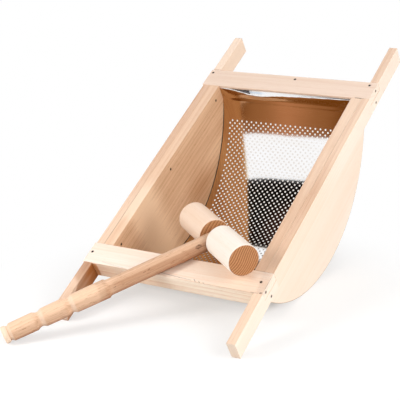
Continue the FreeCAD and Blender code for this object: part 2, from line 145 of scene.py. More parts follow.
class Finish:
    """The node tree of a material or of the world, filled node by node."""

    def __init__(self, owner):
        self.owner = owner
        owner.use_nodes = True
        self.tree = owner.node_tree
        self.tree.nodes.clear()

    def node(self, kind, sockets=None, output=0, **settings):
        """Adds a node: its settings first, then its sockets' values or links. Gives one output."""
        made = self.tree.nodes.new("ShaderNode" + kind)
        for word, value in settings.items():
            setattr(made, word, value)
        for key, value in (sockets or {}).items():
            if isinstance(value, Signal):
                self.tree.links.new(value.socket, made.inputs[key])
            else:
                made.inputs[key].default_value = value
        return Signal(self, made.outputs[output]) if made.outputs else None

    def maths(self, operation, first, second, clamp=False):
        return self.node("Math", {0: first, 1: second}, operation=operation, use_clamp=clamp)

    def mix(self, share, first, second):
        """A colour between two, by a share from 0 to 1."""
        return self.node("Mix", {MIX_SHARE: share, MIX_FIRST: first, MIX_SECOND: second}, output=MIX_RESULT,
                         data_type="RGBA")

    def noise(self, place, scale, detail=2.0, roughness=0.5):
        return self.node("TexNoise", {"Vector": place, "Scale": scale, "Detail": detail,
                                      "Roughness": roughness})

    def streaks(self, place, first, others, detail=1.0, roughness=0.5):
        """Noise with one scale in the first direction and another in the other two."""
        stretched = self.node("Mapping", {"Vector": place, "Scale": (first, others, others)})
        return self.noise(stretched, 1.0, detail, roughness)

    def measure(self, operation, first, second):
        """One number from two vectors, such as their distance."""
        return self.node("VectorMath", {0: first, 1: second}, output="Value", operation=operation)

    def glow(self, colour, strength=1.0):
        return self.node("Emission", {"Color": colour, "Strength": strength})

    def mix_shaders(self, share, first, second):
        return self.node("MixShader", {0: share, 1: first, 2: second})

    def object_place(self):
        """Metres in the piece's own coordinates, so a pattern travels with its piece."""
        return self.node("TexCoord", output="Object")

    def parts(self, place):
        """The three numbers of a place."""
        separate = self.node("SeparateXYZ", {0: place}).socket.node
        return [Signal(self, socket) for socket in separate.outputs]

    def surface(self, **sockets):
        """Ends the tree in a Principled surface."""
        named = {word.replace("_", " "): value for word, value in sockets.items()}
        self.node("OutputMaterial", {"Surface": self.node("BsdfPrincipled", named)})
        return self.owner


def paint(red, green, blue):
    """A screen colour of 0 to 255 as the linear colour that a shader takes."""
    def linear(value):
        share = value / 255
        return share / 12.92 if share <= 0.04045 else ((share + 0.055) / 1.055) ** 2.4
    return (linear(red), linear(green), linear(blue), 1.0)


def plain(red, green, blue):
    """A colour that is linear already."""
    return (red, green, blue, 1.0)


# %% [markdown]
# Grain of wood
#
# Wood looks like wood because it is a solid with rings, and a board shows where its faces cut through them.
# So the pattern is made in three dimensions, in the board's own directions: along the grain, across it and
# into it. The distance from the middle of the tree gives the rings, fine noise stretched along the grain
# gives the fibres, and short dark dashes are the pores. Where a face looks along the grain, the same rings
# show as end grain, which drinks light and so is browner.

# %% Grain
def wood_place(finish, grain, origin):
    """Millimetres along the grain, across it and into the board, from an origin."""
    turn = grain.transposed()
    return finish.node("Mapping", {"Vector": finish.object_place(), "Rotation": turn.to_euler(),
                                   "Scale": (1 / MM,) * 3, "Location": turn @ Vector(origin) / -MM})


def looking_along(finish, direction):
    """1 where a face looks along a direction, 0 where it stands square to it, -1 where it looks away."""
    return finish.measure("DOT_PRODUCT", finish.node("TexCoord", output="Normal"), direction)


def stroke(finish, place, start, end, width):
    """1 on a short line between two places, 0 off it: the distance to the line's nearest point, as a ramp."""
    begin, run = Vector(start), Vector(end) - Vector(start)
    offset = finish.node("VectorMath", {0: place, 1: begin}, operation="SUBTRACT")
    share = finish.measure("DOT_PRODUCT", offset, run / run.length_squared).held()
    nearest = finish.node("VectorMath", {0: run, "Scale": share}, operation="SCALE")
    return finish.measure("DISTANCE", offset, nearest).ramp(width, width * 0.4)


def grain_pattern(finish, place, pith, ring):
    """What varies in wood: slow waves, bands, fibres, pores, and the place within a growth ring.

    Ring number is the distance from the pith, a line along the grain at (across, into), over the ring's
    width, wobbled by the slow waves and the fibres. The place within the ring is its fraction.
    """
    across, into = finish.parts(place)[1:]
    slow = finish.streaks(place, 0.003, 0.022)
    band = finish.streaks(place, 0.004, 0.2, 3.0)
    fibre = finish.streaks(place, 0.02, 0.9, 5.0, 0.65)
    dash = finish.streaks(place, 0.11, 1.3)
    out_across = across - pith[0]
    out_into = into - pith[1]
    from_pith = (out_across * out_across + out_into * out_into) ** 0.5
    ring_place = ((from_pith + slow * 12.0) / ring + fibre * 0.3).fraction()
    return slow, band, fibre, dash.ramp(0.64, 0.72), ring_place


# %% [markdown]
# What happens to wood later, and painted light
#
# Dirt fills the seams, and tools and nails leave dark marks. The slopes of the turned grip that look towards
# its end are painted paler, a painted highlight, and the disc at its end is pale wood. The left front handle
# is painted browner near the crossbar, a painted shade. Each is a colour laid over the wood by a share that
# is 0 nearly everywhere.

# %% Painted highlight, painted shade, dirt and marks
# Painted highlight: the pale laid on the turned slopes where the front lamp falls.
PAINTED_HIGHLIGHT = paint(250, 228, 206)
END_DISC = paint(241, 215, 190)
SEAM_DIRT = paint(120, 74, 46)
# Painted shade: the brown laid on the left front handle near the crossbar.
PAINTED_SHADE_BROWN = paint(156, 94, 42)
MARK_BROWN = paint(92, 54, 32)
SEAM_ACROSS = 109.0
CROSSBAR_INNER = 147.5
DISC_START = 258.8


def with_painted_highlight_and_disc(finish, along, colour, slope, highlighted):
    """A painted highlight on the slopes that look towards the handle's end, and paler wood on its disc."""
    colour = finish.mix(slope.ramp(-0.12, 0.5) * highlighted, colour, PAINTED_HIGHLIGHT)
    return finish.mix(along.ramp(DISC_START, DISC_START + 0.6), colour, END_DISC)


def with_seam(finish, place, colour, seam):
    """Dirt in the seam between a rail and its panel, as strong as seam says at each place along it."""
    along, across, into = finish.parts(place)
    near_seam = abs(abs(across) - SEAM_ACROSS).ramp(0.7, 0.25)
    on_top = into.ramp(-1.3, -0.6) * abs(along).ramp(CROSSBAR_INNER, CROSSBAR_INNER - 0.5)
    patchy = finish.streaks(place, 0.02, 0.001, 2.0).ramp(0.3, 0.6)
    return finish.mix(near_seam * on_top * patchy * seam(along), colour, SEAM_DIRT)


def with_marks(finish, place, colour, marks):
    """A dark, slightly broken stroke for each (start, end, width, strength)."""
    for start, end, width, strength in marks:
        broken = finish.noise(place, 0.9).ramp(0.35, 0.55)
        share = stroke(finish, place, start, end, width) * (broken * 0.5 + 0.5) * strength
        colour = finish.mix(share, colour, MARK_BROWN)
    return colour


# %% [markdown]
# One wood maker for every board
#
# The maker adds the patterns up to one number, the streak, from pale early wood to dark late wood. The
# pattern also roughens the surface a little, so a low light catches the fibres.

# %% Wood maker
def wood(name, grain, origin, face, end, pith, ring=4.0, ringed=0.2, streaked=0.6, banded=0.7, pored=0.3,
         end_lines=0.6, end_power=3.0, top=None, seam=None, marks=(), shade=None, painted_shade=None, highlighted=0.0):
    """A wood whose grain runs along the first of three axes, the columns of a 3 by 3 matrix.

    Face, end and top are (pale, dark) pairs, top for the faces that look along the third axis. Shade is a
    function of the place that changes the streak, and in some boards it paints light and shade. The other
    function of the place gives a share of brown that paints shade.
    """
    finish = Finish(bpy.data.materials.new(name))
    place = wood_place(finish, grain, origin)
    along, across, into = finish.parts(place)
    slow, band, fibre, pores, ring_place = grain_pattern(finish, place, pith, ring)
    late_wood = ring_place ** 3.0
    end_on = looking_along(finish, grain.col[0])
    ends = abs(end_on).ramp(0.6, 0.85)

    streak = (fibre - 0.5) * streaked + (band - 0.5) * banded + (slow - 0.5) * 0.8 + late_wood * ringed
    streak = streak + pores * pored + 0.3
    if shade:
        streak = streak + shade(along, across, into)
    streak = streak.held()
    sides = finish.mix(streak, *face)
    if top:
        upward = looking_along(finish, grain.col[2]).ramp(0.6, 0.8)
        sides = finish.mix(upward, sides, finish.mix(streak, *top))
    end_streak = ring_place ** end_power * end_lines + (fibre - 0.5) * 0.6 + 0.1
    colour = finish.mix(ends, sides, finish.mix(end_streak.held(), *end))
    # A painted highlight on the turned slopes, and the pale end disc.
    if highlighted:
        colour = with_painted_highlight_and_disc(finish, along, colour, end_on, (1 - ends) * highlighted)
    if seam:
        colour = with_seam(finish, place, colour, seam)
    # Painted shade: a share of brown where a board lies in shade.
    if painted_shade:
        share = painted_shade(along, across, into) * (0.75 + band * 0.5)
        colour = finish.mix(share.held(), colour, PAINTED_SHADE_BROWN)
    colour = with_marks(finish, place, colour, marks)

    height = fibre * 0.4 - pores * 0.6 - late_wood * 0.25 + band * 0.4
    relief = finish.node("Bump", {"Height": height, "Strength": 0.3, "Distance": 0.0001})
    roughness = 0.5 + fibre * 0.14 + ends * 0.15
    return finish.surface(Base_Color=colour, Roughness=roughness, Normal=relief, Specular_IOR_Level=0.35)


def give(piece, material):
    """Replaces a piece's materials by one."""
    piece.data.materials.clear()
    piece.data.materials.append(material)


# %% [markdown]
# Marks on the boards
#
# The frame is nailed together and well used: each nail has bruised the wood round its head, and the front
# crossbar's upper edge is dented and chipped. A mark is a short line in the board's own millimetres: along
# the grain, across it and into the board, which is negative below the top face.

# %% Marks on the boards
EDGE_BRUISES = [
    ((-96, -174.3, 0), (-79, -176.4, 0), 0.8, 0.2), ((-79, -176.4, 0), (-60, -178.5, 0), 0.7, 0.2),
    ((-16, -174.5, 0), (12, -176.3, 0), 0.9, 0.45), ((12, -176.3, 0), (28, -177.2, 0), 0.8, 0.35),
    ((31, -175.2, 0), (34, -178.0, 0), 0.7, 0.5), ((38, -176.6, 0), (40.5, -179.5, -0.5), 0.7, 0.5),
    ((44, -177.6, 0), (47, -179.2, -1.6), 0.7, 0.45), ((47, -178.7, -0.6), (101, -178.9, -0.8), 0.6, 0.2),
    ((-92, -178.8, -0.2), (101, -178.9, -0.4), 0.45, 0.45)]


def bruised(*places):
    """A short dark mark round each nail's head."""
    return [(place, (place[0] + 0.1, place[1], place[2]), 2.5, 0.9) for place in places]


# On the tongue at the crossbar's right end: first a wide, soft brown band, the painted shadow of the right
# roller, then small chips.
TONGUE_SHADE_AND_CHIPS = [
    ((113, -150, 0), (117, -177, 0), 8.0, 0.16), ((105, -178.3, 0), (113, -178.3, -0.5), 0.8, 0.4),
    ((119.8, -153, 0), (119.6, -171, 0), 0.5, 0.6), ((116.3, -177.4, 0), (118.4, -176.9, -0.8), 1.3, 0.75)]
BACK_GAP = [((101, 147.5, -0.3), (112, 147.5, -0.3), 0.7, 0.85)]
BACK_GAP_END = [((147.5, -101, -0.3), (147.5, -112, -0.3), 0.7, 0.85)]
print("dents and chips on the front crossbar:", len(EDGE_BRUISES) + len(TONGUE_SHADE_AND_CHIPS))

# %% [markdown]
# Uneven tones and painted light
#
# No board has one tone from end to end, and some boards carry painted light and shade as well. These
# functions take a place in a board. The shades give what the streak gains there, where more is browner, the
# painted shade gives a share of brown, and the seams give how much dirt lies there.

# %% Uneven tones, painted light and painted shade
def front_painted_shade(along, across, into):
    """Painted shade on the left front handle, from the crossbar to a slanting line: browner on its inner face
    and nearest the crossbar.
    """
    before_line = (along - across * 0.7 - into * 2.0 + 287.0).ramp(-4.0, 4.0)
    near = along.ramp(-215.0, -180.0) * 0.3
    return before_line * along.ramp(-176.5, -179.0) * (into.ramp(-0.5, -2.5) * 0.4 + 0.32 + near)


def trough_painted_shade_and_light(along, across, into):
    """Painted shade low on the left panel's inside, near the sheet, and painted light towards its front."""
    away = ((along - 38.0) * (along - 38.0) + (into + 78.0) * (into + 78.0) * 2.0) ** 0.5
    return away.ramp(55.0, 5.0) * 0.4 + 0.15 - along.ramp(-25.0, -70.0) * along.ramp(-115.0, -85.0) * 0.7


def greyer_top(along, across, into):
    """The left rail is a little darker towards the back crossbar, and pale again on its back handle."""
    return along.ramp(-110.0, 0.0) * along.ramp(182.0, 178.0) * 0.36 - along.ramp(178.0, 182.0) * 0.6 + 0.06


def streaky(along, across, into):
    """A soft darker streak along the right rail's top."""
    streak = abs(across + 112.5).ramp(3.0, 0.5) * into.ramp(-1.5, -0.3) * along.ramp(-60.0, 20.0)
    return streak * 0.12 + along.ramp(60.0, -30.0) * along.ramp(-150.0, -146.0) * 0.5 - 0.1


def lower_tan(along, across, into):
    """The right panel's top edge is browner towards the front."""
    return (along.ramp(40.0, -90.0) * 0.45 - along.ramp(50.0, 120.0) * 0.3) * into.ramp(-1.5, -0.3)


def crossbar_painted_light_and_shade(along, across, into):
    """Painted light and shade on the front crossbar: its top is nearly white at its left end, near the front
    lamp, and its front face is paler at its right end, browner at its left and darkest in its left corner,
    where the masher and the left handle shade it.
    """
    top = into.ramp(-1.0, -0.2)
    # A painted shadow of the left handle in the corner of the front face.
    painted_corner_shadow = abs(along + 107.0).ramp(5.0, 1.5) * across.ramp(-177.5, -179.0) * into.ramp(-1.0, -3.0)
    rising = along.ramp(-70.0, 70.0) * 0.3 - 0.16
    falling = along.ramp(-95.0, 60.0) * -0.38 + 0.10
    return top * rising + (1 - top) * falling + painted_corner_shadow * 1.2


def left_seam(along):
    """Dirt lies mostly towards the front."""
    return along.ramp(-40.0, -75.0) * 0.45 + 0.05


def right_seam(along):
    """This seam is nearly clean, and a little darker towards the back."""
    return along.ramp(-150.0, 150.0) * 0.04 + 0.04


# %% [markdown]
# Six boards, six cuts
#
# Rails and panels have their grain from front to back, crossbars from side to side. Each board was sawn from
# another place in the tree, so each gets its own pith and tone. The left boards are pinkish tan, the
# crossbars and the right panel are paler. The sides of the right boards are paler than their tops: painted
# light from the right lamp.

# %% Woods of the frame
ALONG_Y = LEVEL_AXES @ Matrix(((0, -1, 0), (1, 0, 0), (0, 0, 1)))
ALONG_X = LEVEL_AXES
TOP_TAN = (paint(244, 214, 188), paint(210, 166, 132))
# A paler copy of the wood for the sides of the right boards, against their browner tops: painted light from
# the right lamp. The crossbars' ends take it as their end tone.
PAINTED_LIT_PALE = (paint(251, 234, 218), paint(244, 218, 194))
PALE_END = (paint(255, 246, 233), paint(220, 178, 142))
BOARDS = {
    # The left rail's front handle carries painted shade.
    "left_rail": dict(
        grain=ALONG_Y, face=(paint(251, 224, 200), paint(214, 169, 135)), end=PALE_END, pith=(150, 60),
        ring=4.2, seam=left_seam, painted_shade=front_painted_shade, shade=greyer_top,
        marks=bruised((-171.5, 120, -4.5), (-165.4, 120, -18))),
    "right_rail": dict(
        grain=ALONG_Y, face=PAINTED_LIT_PALE, end=PALE_END, end_lines=0.9, end_power=1.5, top=TOP_TAN,
        pith=(-190, 75), ring=3.4, seam=right_seam, streaked=0.9, shade=streaky,
        marks=bruised((-165.4, -120, -18), (161.6, -120, -18))),
    # The left panel's inside carries painted shade low down and painted light at its front.
    "left_side_panel": dict(
        grain=ALONG_Y, face=(paint(254, 216, 180), paint(198, 145, 104)), end=PALE_END,
        top=(paint(246, 216, 188), paint(220, 172, 134)), pith=(60, -230), ring=6.0, seam=left_seam,
        shade=trough_painted_shade_and_light, marks=bruised((130.5, 96, -11.5), (-3, 96, -11.5), (-135, 96, -11.5))),
    "right_side_panel": dict(
        grain=ALONG_Y, face=PAINTED_LIT_PALE, end=PALE_END, top=TOP_TAN, pith=(-70, 140), ring=6.0, ringed=0.1,
        seam=right_seam, shade=lower_tan, marks=BACK_GAP_END),
    # The front crossbar carries painted light and shade on its top and front face.
    "front_crossbar": dict(
        grain=ALONG_X, face=(paint(255, 238, 218), paint(214, 154, 104)), end=PAINTED_LIT_PALE,
        top=(paint(251, 235, 220), paint(236, 200, 170)), pith=(-60, -110), ring=5.0, shade=crossbar_painted_light_and_shade,
        marks=EDGE_BRUISES + TONGUE_SHADE_AND_CHIPS + bruised(
            (-117.5, -162.3, 0), (110.6, -162.3, 0), (120, -171.5, -4.5))),
    "back_crossbar": dict(
        grain=ALONG_X, face=(paint(245, 222, 204), paint(226, 192, 164)), end=PAINTED_LIT_PALE, pith=(240, 130),
        ring=5.0, marks=BACK_GAP + bruised(
            (-117.5, 172.4, 0), (110.6, 172.4, 0), (6, 172.4, 0), (120, 168.1, -4.5))),
}
for node, cut in BOARDS.items():
    give(frame["nodes"][node], wood(node + "_wood", origin=LEVEL_ORIGIN, **cut))
print("boards:", len(BOARDS))

# %% [markdown]
# Turning wood on a lathe
#
# Handle and rollers were turned, so each is a profile carried round a line: at every station along the line
# a radius, and round it a ring of points. A real lathe hand wavers a little, so the radius swells and
# shrinks by a tenth of a millimetre. Both ends close in one point.

# %% Lathe
AROUND = 72
LONG_WAVE, SHORT_WAVE = 17.0, 6.1


def axes_along(first, near):
    """Three axes as columns: the first given, the second as near as it can be to another direction."""
    third = first.cross(near).normalized()
    second = third.cross(first)
    return Matrix((first, second, third)).transposed()


def ring_points(stations, radii, around, waver=0.0):
    """Rows of (along, second, third): each station's ring, its radius times (1 + waver * slow sines)."""
    turn = np.arange(around) * 2 * math.pi / around
    at = stations[:, None]
    swell = 1 + waver * (np.sin(at / LONG_WAVE) * np.cos(turn) + 0.5 * np.sin(at / SHORT_WAVE))
    radius = radii[:, None] * swell
    along = np.broadcast_to(at, radius.shape)
    return np.stack([along, radius * np.cos(turn), radius * np.sin(turn)], -1)


def finish_mesh(mesh, sharp_degrees):
    """Turns all faces outwards and shades them smooth, but for edges sharper than an angle."""
    shaper = bmesh.new()
    shaper.from_mesh(mesh)
    bmesh.ops.recalc_face_normals(shaper, faces=shaper.faces)
    shaper.to_mesh(mesh)
    shaper.free()
    mesh.shade_smooth()
    mesh.set_sharp_from_angle(angle=math.radians(sharp_degrees))


def lathe_piece(name, rings, axes, origin, material):
    """Joins rings of points into a closed skin. Its poles are the middles of the first and last ring."""
    rows_count, around = rings.shape[:2]
    poles = np.stack([rings[0].mean(0), rings[-1].mean(0)])
    local = np.concatenate([rings.reshape(-1, 3), poles])
    world_points = local * MM @ np.array(axes).T + np.array(origin)
    index = np.arange(rows_count * around).reshape(rows_count, around)
    after = np.roll(index, -1, 1)
    skin = np.stack([index[:-1], after[:-1], after[1:], index[1:]], -1).reshape(-1, 4)
    first_pole, last_pole = rows_count * around, rows_count * around + 1
    start_cap = np.stack([np.full(around, first_pole), after[0], index[0]], -1)
    end_cap = np.stack([np.full(around, last_pole), index[-1], after[-1]], -1)
    mesh = bpy.data.meshes.new(name)
    mesh.from_pydata(world_points, [], skin.tolist() + start_cap.tolist() + end_cap.tolist())
    finish_mesh(mesh, 38)
    mesh.materials.append(material)
    return add_object(name, mesh)


# %% [markdown]
# Woods of the masher
#
# The handle is browner than the rollers. Its shaft has a soft knot near the head and small dents further
# down, and the grip has a fine crack along it. The rollers show their rings at the ends.

# %% Woods of the masher
HANDLE_AXES = axes_along(OUTWARD, ACROSS)
ROLLER_AXES = axes_along(ACROSS, OUTWARD)
SHAFT_MARKS = [
    ((23.5, 8.4, 4.4), (27, 8.5, 4.2), 2.6, 0.35), ((22, 8.2, 4.6), (24, 7.6, 5.6), 1.3, 0.5),
    ((24, 7.6, 5.6), (27.5, 7.9, 5.2), 1.2, 0.45), ((26, 9.1, 2.6), (22.5, 8.9, 3.2), 1.3, 0.55),
    ((28.5, 8.6, 4.0), (26, 9.1, 2.6), 1.2, 0.5), ((15, 9.2, 1.8), (21, 8.9, 3.0), 1.1, 0.4),
    ((85.5, 8.2, 4.8), (88.5, 8.5, 3.8), 0.7, 0.7), ((91.5, 8.6, 4.0), (94, 8.7, 3.6), 0.6, 0.6),
    ((129, 9.2, 2.6), (131.5, 9.3, 2.0), 0.6, 0.6), ((196, 10.0, -3.4), (262, 9.6, -3.6), 0.35, 0.55),
    ((148, 10.6, -4.0), (188, 10.4, -3.6), 0.3, 0.45)]


def grip_tone_and_painted_light(along, across, into):
    """The shaft is browner than the sanded grip, and browner at the grip's shoulder. Painted shade darkens
    the underside and a painted highlight pales the top.
    """
    painted_shade_below = into.ramp(-1.0, -9.0) * 0.6
    # A painted highlight along the top.
    above = into.ramp(2.0, 10.0) * 0.34
    shoulder = abs(along - 143.0).ramp(9.0, 3.0) * 0.25
    return along.ramp(150.0, 120.0) * 0.38 + painted_shade_below - above + shoulder + 0.06


# The handle's wood carries painted light: a highlight on the slopes of its grooves, and painted shade and
# highlight across shaft and grip.
handle_wood = wood(
    "handle_wood", HANDLE_AXES, HEAD, face=(paint(240, 201, 168), paint(160, 104, 64)),
    end=(paint(252, 238, 222), paint(236, 206, 176)), pith=(25, 8), ring=3.2, pored=0.45,
    marks=SHAFT_MARKS, shade=grip_tone_and_painted_light, highlighted=0.42)
left_roller_wood = wood(
    "left_roller_wood", ROLLER_AXES, HEAD, face=(paint(251, 226, 204), paint(234, 196, 164)),
    end=(paint(212, 158, 110), paint(146, 92, 52)), pith=(40, -70), ringed=0.1, streaked=0.4, banded=0.5,
    end_lines=0.9, end_power=1.4)
right_roller_wood = wood(
    "right_roller_wood", ROLLER_AXES, HEAD, face=(paint(254, 246, 236), paint(244, 220, 198)),
    end=(paint(214, 156, 110), paint(146, 90, 48)), pith=(60, -84), ring=2.8, ringed=0.1, streaked=0.3,
    banded=0.4, end_lines=1.05, end_power=1.2)
give(frame["nodes"]["roller_axle"], handle_wood)
print("masher's woods:", handle_wood.name, left_roller_wood.name, right_roller_wood.name)

# %% [markdown]
# The masher's handle
#
# From its blunt nose the shaft runs to a thicker grip with three round-bottomed grooves and a disc at its
# end. The head is flattened to a tongue between the rollers, a little out of square to the shaft, and the
# dowel's hole goes through it. The flats are made by holding each point's place along the rollers' line
# within half the tongue's thickness.

# %% Profile of the handle
NOSE, HANDLE_END = -11.0, 265.0
NOSE_ROUND, NOSE_RADIUS = 4.0, 6.0
GRIP_TAPER, GRIP_START = 136.0, 139.5
SHAFT_RADIUS, GRIP_RADIUS, GRIP_LOSS = 9.5, 11.4, 0.9
GROOVES = ((87.0, 12.0), (49.5, 12.0), (10.0, 6.5))
GROOVE_DEPTH = 2.1
DISC_LENGTH, DISC_ROUND, DISC_STEP = 3.5, 1.2, 0.25
TONGUE_HALF, TONGUE_LENGTH, SHOULDER = 8.4, 28.0, 20.0
FINE_START = 176.0


def handle_radius(along):
    """Radius at a place along the handle: a nose's quarter ellipse, shaft, smooth step, grip less grooves."""
    step = np.clip((along - GRIP_TAPER) / (GRIP_START - GRIP_TAPER), 0, 1)
    grip = GRIP_RADIUS - GRIP_LOSS * np.clip((along - GRIP_START) / (HANDLE_END - GRIP_START), 0, 1)
    radius = SHAFT_RADIUS + (grip - SHAFT_RADIUS) * step * step * (3 - 2 * step)
    for from_end, width in GROOVES:
        share = np.clip((along - (HANDLE_END - from_end)) / width, 0, 1)
        radius = radius - GROOVE_DEPTH * np.sin(math.pi * share) ** 1.6
    nose = np.clip((along - NOSE) / NOSE_ROUND, 0, 1)
    disc = np.clip((HANDLE_END - along) / DISC_ROUND, 0, 1)
    radius = radius - (SHAFT_RADIUS - NOSE_RADIUS) * (1 - np.sqrt(1 - (1 - nose) ** 2))
    radius = radius - DISC_ROUND * (1 - np.sqrt(1 - (1 - disc) ** 2))
    return radius - DISC_STEP * (along > HANDLE_END - DISC_LENGTH)


stations = np.unique(np.round(np.concatenate([
    np.linspace(NOSE, NOSE + NOSE_ROUND, 9), np.arange(NOSE + NOSE_ROUND, FINE_START, 1.5),
    np.arange(FINE_START, HANDLE_END - DISC_ROUND, 0.8), np.linspace(HANDLE_END - DISC_ROUND, HANDLE_END, 7),
    [TONGUE_LENGTH - 0.01, TONGUE_LENGTH + 0.01]]), 3))
print("stations along the handle:", len(stations))

# %% Handle
tongue_line = (OUTWARD - ACROSS * OUTWARD.dot(ACROSS)).normalized()
out_of_square = math.asin(OUTWARD.dot(ACROSS))
rings = ring_points(stations, handle_radius(stations), AROUND, waver=0.008)
near_shoulder = np.clip(1 - np.abs(stations - TONGUE_LENGTH) / SHOULDER, 0, 1)[:, None]
rings[..., 0] += near_shoulder * rings[..., 1] * math.tan(out_of_square)
directions = np.array(HANDLE_AXES)
sideways = rings @ directions.T @ np.array(ACROSS)
forward = rings @ directions.T @ np.array(tongue_line)
excess = sideways - np.clip(sideways, -TONGUE_HALF, TONGUE_HALF)
on_tongue = forward < TONGUE_LENGTH
rings -= (excess * on_tongue)[..., None] * (np.array(ACROSS) @ directions)
handle = lathe_piece("turned_handle", rings, HANDLE_AXES, HEAD, handle_wood)

# %% The dowel's hole
HALF_BORE, BORE_RADIUS = 16.0, 5.1
bore_rings = ring_points(np.array([-HALF_BORE, HALF_BORE]), np.full(2, BORE_RADIUS), 48)
bore = lathe_piece("bore", bore_rings, ROLLER_AXES, HEAD, handle_wood)
boring = handle.modifiers.new("dowel_hole", "BOOLEAN")
boring.operation = "DIFFERENCE"
boring.solver = "EXACT"
boring.object = bore
bored = bpy.data.meshes.new_from_object(handle.evaluated_get(bpy.context.evaluated_depsgraph_get()))
handle.modifiers.clear()
handle.data = bored
bpy.data.objects.remove(bore)
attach(handle, "masher")
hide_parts("masher_handle")
print("handle faces:", len(bored.polygons))

# %% [markdown]
# The rollers
#
# Each roller is a short turned cylinder with softened edges and a blind hole for the glued dowel. Its
# profile goes from the bottom of the hole, out over the inner end, along the side and over the outer end
# back to the line.

# %% Rollers
ROLLER_RADIUS, ROLLER_LENGTH, ROLLER_EDGE = 18.7, 62.4, 1.5
ROLLER_START = 8.8
HOLE_DEPTH, HOLE_BORE = 30.05, 5.05
WAVINESS, WAVE = 0.004, 9.0


def roller_profile():
    """Places along the line and their radii: a blind hole, a face, and a side between two quarter rounds."""
    corner = np.linspace(0, math.pi / 2, 6)
    edge_along = ROLLER_EDGE * (1 - np.cos(corner))
    edge_radius = ROLLER_RADIUS - ROLLER_EDGE * (1 - np.sin(corner))
    inner_face = np.linspace(HOLE_BORE, ROLLER_RADIUS - ROLLER_EDGE, 6)[1:-1]
    side_along = np.linspace(ROLLER_EDGE, ROLLER_LENGTH - ROLLER_EDGE, 24)[1:-1]
    outer_face = np.linspace(ROLLER_RADIUS - ROLLER_EDGE, 1.0, 8)[1:]
    along = np.concatenate([
        [HOLE_DEPTH, HOLE_DEPTH, 0], np.zeros_like(inner_face), edge_along, side_along,
        ROLLER_LENGTH - edge_along[::-1], np.full_like(outer_face, ROLLER_LENGTH)])
    radii = np.concatenate([
        [0.5, HOLE_BORE, HOLE_BORE], inner_face, edge_radius, np.full_like(side_along, ROLLER_RADIUS),
        edge_radius[::-1], outer_face])
    return along, radii


for side, material in ((-1, left_roller_wood), (1, right_roller_wood)):
    rings = ring_points(*roller_profile(), AROUND)
    wavy = 1 - WAVINESS * (1 + np.sin(rings[..., 0] / WAVE + side)) * (rings[..., 0] > ROLLER_EDGE)
    rings[..., 1:] *= wavy[..., None]
    rings[..., 0] = side * (ROLLER_START + rings[..., 0])
    name = ("left" if side < 0 else "right") + "_turned_roller"
    roller = lathe_piece(name, rings, ROLLER_AXES, HEAD, material)
    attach(roller, "roller_set")
    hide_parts("left_roller" if side < 0 else "right_roller")
    print(name, "faces:", len(roller.data.polygons))

# %% [markdown]
# Steel
#
# The sheet is bright rolled steel, so it is a mirror that is a little blurred along the rolling direction and
# a little wavy. Its own colour is only slightly warm: the copper tone in a picture is the wood that it
# mirrors. Part of it is painted: a browner steel on the left and a greyer streak on the lip are painted
# reflections, and a black strip along the panels is painted shade. The nails are dull dark wire.

# %% Steel of the sheet
BRIGHT_STEEL = (plain(0.68, 0.55, 0.43), plain(0.66, 0.52, 0.39))
# Painted reflection: a browner steel on the left, where the sheet mirrors the left panel.
PAINTED_REFLECTION_BROWN = (plain(0.61, 0.44, 0.26), plain(0.55, 0.345, 0.175))
# Painted reflection: a greyer streak across the lip's curl.
PAINTED_REFLECTION_GREY = plain(0.56, 0.49, 0.42)
# Painted shade for the strip where the sheet meets the panels.
PAINTED_GAP_BLACK = plain(0.02, 0.012, 0.008)
PANEL_FACE = 95.1


def sheet_steel():
    """Bright steel. Numbers on the mesh's points say how far the lip leans, where it curls, and which side
    is the inside, where painted shade darkens a strip along the panels."""
    finish = Finish(bpy.data.materials.new("sheet_steel"))
    place = wood_place(finish, LEVEL_AXES, LEVEL_ORIGIN)
    across, along, above = finish.parts(place)
    lean, edge_share, inside = [finish.node("Attribute", output="Fac", attribute_name=word)
                                for word in ("lean", "edge_share", "inside")]
    rolled = finish.streaks(place, 0.02, 0.7, 4.0, 0.6)
    waves = finish.streaks(place, 0.02, 0.02)

    tint = finish.mix(rolled.ramp(0.3, 0.7), *BRIGHT_STEEL)
    # Painted reflection of the left panel: left of a slanting line the steel is browner, more so higher up.
    border = across + along * 0.43 + 10.5 - along.ramp(125.0, 140.0) * 6.0
    painted_panel_reflection = border.ramp(0.0, -5.0) * edge_share.ramp(0.2, 0.05)
    tint = finish.mix(painted_panel_reflection, tint, finish.mix(along.ramp(70.0, 135.0), *PAINTED_REFLECTION_BROWN))
    # Painted reflection: a greyer streak on the lip's curl, left of the middle.
    streak = across.ramp(-72.0, -60.0) * across.ramp(-22.0, -40.0) * edge_share.ramp(0.35, 0.5)
    tint = finish.mix(streak * edge_share.ramp(0.85, 0.7), tint, PAINTED_REFLECTION_GREY)
    patchy = finish.noise(place, 0.03).ramp(0.3, 0.5)
    # Painted shade: a black, matt strip low on the inside, where the sheet meets the panels.
    corner = abs(across).ramp(PANEL_FACE - 0.7, PANEL_FACE) * abs(across).ramp(97.5, 97.0)
    painted_gap_shade = corner * (patchy * 0.3 + 0.7) * above.ramp(-20.0, -45.0) * inside.ramp(0.6, 0.9)
    tint = finish.mix(painted_gap_shade, tint, PAINTED_GAP_BLACK)

    left_half = across.ramp(0.0, -0.0001) * across * across
    twist = left_half * ((along - 55.0) / 60.0) * 0.0000007
    height = lean + twist + rolled * 0.000006 + waves * 0.00012
    relief = finish.node("Bump", {"Height": height, "Strength": 1.0, "Distance": 1.0})
    return finish.surface(Base_Color=tint, Metallic=1 - painted_gap_shade, Roughness=0.05 + rolled * 0.06 + painted_gap_shade * 0.5,
                          Normal=relief)


